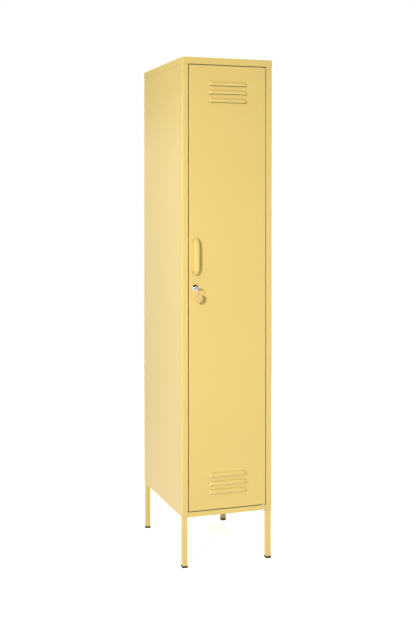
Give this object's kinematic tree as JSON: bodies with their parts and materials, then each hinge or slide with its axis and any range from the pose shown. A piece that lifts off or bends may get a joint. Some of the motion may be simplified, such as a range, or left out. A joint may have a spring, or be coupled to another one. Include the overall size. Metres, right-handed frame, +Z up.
{
  "type": "metal locker",
  "caption": "Slim single-door steel locker on square legs, with louvres, bow handle, cam lock and key, shelves and hanging rail.",
  "frame": {"origin": "on the floor, in the middle of the whole outline seen from above", "axes": "+Z up, +X to the right seen from the front, +Y from the door to the back panel"},
  "size_m": [0.35, 0.4994, 1.83],
  "materials": {
    "cabinet_paint": "satin powder coat",
    "door_paint": "satin powder coat",
    "foot_plastic": "matte black",
    "rubber": "matte",
    "nylon": "natural",
    "zinc_steel": "bright zinc plate",
    "dark_steel": "black oxide",
    "chrome": "polished",
    "fob_plastic": "soft satin"
  },
  "bodies": {
    "cabinet": {"left_side_panel": "cabinet_paint", "right_side_panel": "cabinet_paint", "left_stile": "cabinet_paint", "right_stile": "cabinet_paint", "left_door_stop": "cabinet_paint", "right_door_stop": "cabinet_paint", "back_panel": "cabinet_paint", "top_cap": "cabinet_paint", "base_tray": "cabinet_paint", "leg_front_left": "cabinet_paint", "leg_front_right": "cabinet_paint", "leg_rear_left": "cabinet_paint", "leg_rear_right": "cabinet_paint", "foot_front_left": "foot_plastic", "foot_front_right": "foot_plastic", "foot_rear_left": "foot_plastic", "foot_rear_right": "foot_plastic", "leg_bolts": "zinc_steel", "shelf_strip_front_left": "cabinet_paint", "shelf_strip_front_right": "cabinet_paint", "shelf_strip_rear_left": "cabinet_paint", "shelf_strip_rear_right": "cabinet_paint", "top_shelf": "cabinet_paint", "middle_shelf": "cabinet_paint", "lower_shelf": "cabinet_paint", "shelf_clips": "zinc_steel", "hanging_rail": "zinc_steel", "rail_socket_left": "zinc_steel", "rail_socket_right": "zinc_steel", "cable_grommet": "rubber", "door_bumpers": "rubber", "upper_hinge_bracket": "zinc_steel", "lower_hinge_bracket": "zinc_steel", "upper_hinge_pin": "dark_steel", "lower_hinge_pin": "dark_steel", "hinge_washer": "nylon"},
    "door": {"door_panel": "door_paint", "door_stiffener": "door_paint", "upper_pivot_block": "nylon", "lower_pivot_block": "nylon", "handle": "door_paint", "handle_screws": "zinc_steel", "lock_housing": "chrome", "lock_nut": "zinc_steel"},
    "plug": {"lock_plug": "chrome", "lock_cam": "zinc_steel", "cam_screw": "zinc_steel"},
    "key": {"key": "chrome"},
    "ring": {"key_ring": "chrome"},
    "fob": {"key_fob": "fob_plastic"}
  },
  "joints": [
    {"name": "door_hinge", "type": "hinge", "parent": "cabinet", "child": "door", "pos_m": [0.142, -0.2038, 1.0015], "axis": [0, 0, 1], "range_deg": [0, 110]},
    {"name": "lock_turn", "type": "hinge", "parent": "door", "child": "plug", "pos_m": [-0.125, -0.2093, 1.0015], "axis": [0, 1, 0], "range_deg": [0, 90]},
    {"name": "key_pull", "type": "slide", "parent": "plug", "child": "key", "axis": [0, -1, 0], "range_m": [0, 0.022]},
    {"name": "ring_swing", "type": "hinge", "parent": "key", "child": "ring", "pos_m": [-0.125, -0.2373, 1.0015], "axis": [1, 0, 0], "range_deg": [-80, 2]},
    {"name": "fob_swing", "type": "hinge", "parent": "ring", "child": "fob", "pos_m": [-0.125, -0.2373, 0.98096], "axis": [0, 1, 0], "range_deg": [-45, 45]}
  ]
}
